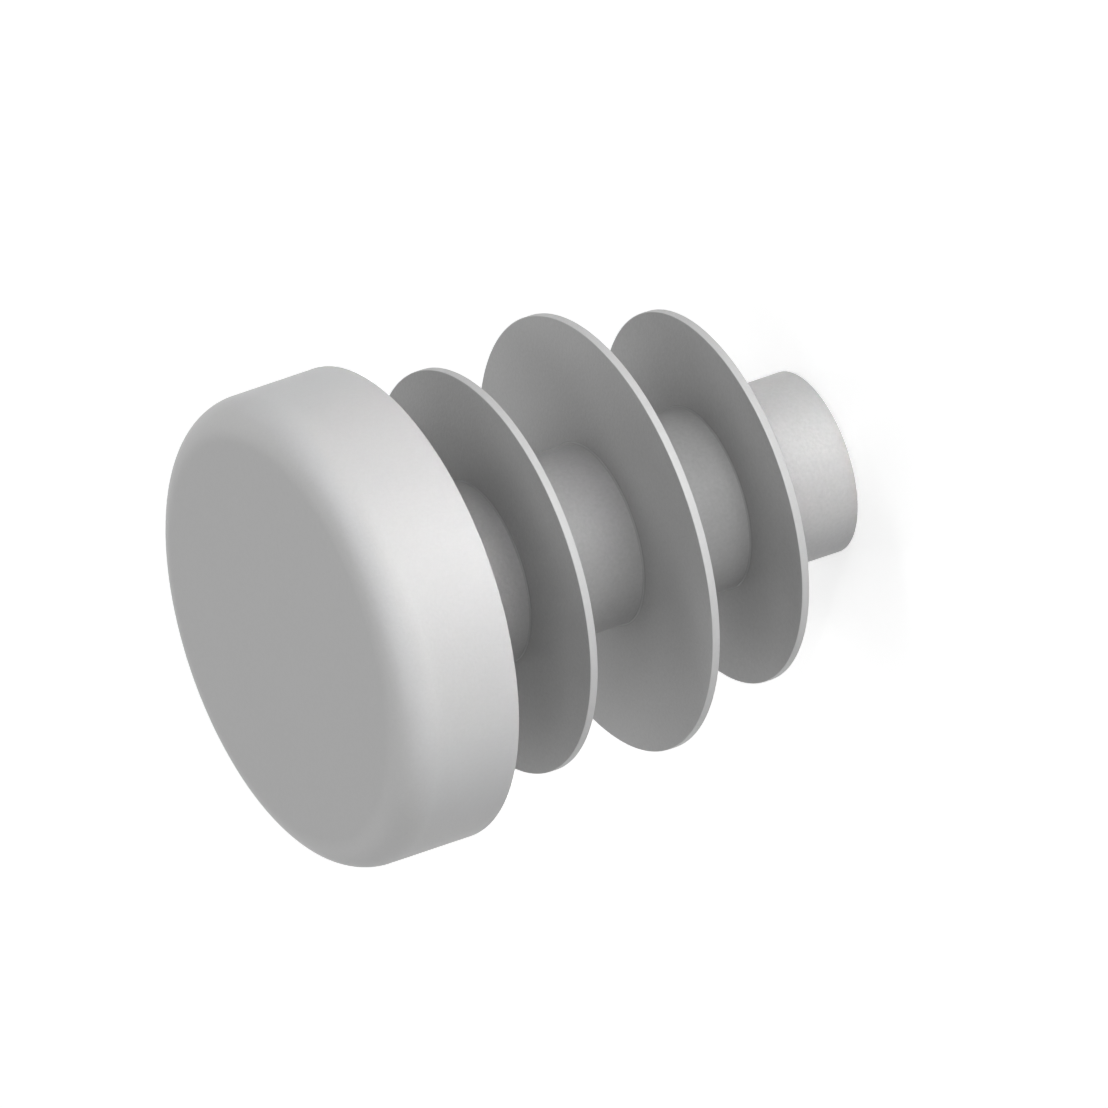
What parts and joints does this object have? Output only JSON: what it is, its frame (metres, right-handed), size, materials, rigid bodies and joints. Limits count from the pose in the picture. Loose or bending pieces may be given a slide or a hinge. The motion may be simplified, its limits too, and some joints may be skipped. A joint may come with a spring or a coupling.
{
  "type": "tube end cap",
  "caption": "Round push-in end cap for a tube: a thick disc head with a rounded edge, and a stem with thin round fins that grip the bore.",
  "frame": {"origin": "centre of the seat, the flat underside of the head that meets the end of the tube", "axes": "+Z along the axis from the stem's end to the head's face; X and Y are any pair across it, because the cap is round"},
  "size_m": [0.025, 0.025, 0.0314],
  "materials": {
    "cap_plastic": "matte"
  },
  "bodies": {
    "root": {"end_cap": "cap_plastic"}
  },
  "joints": []
}
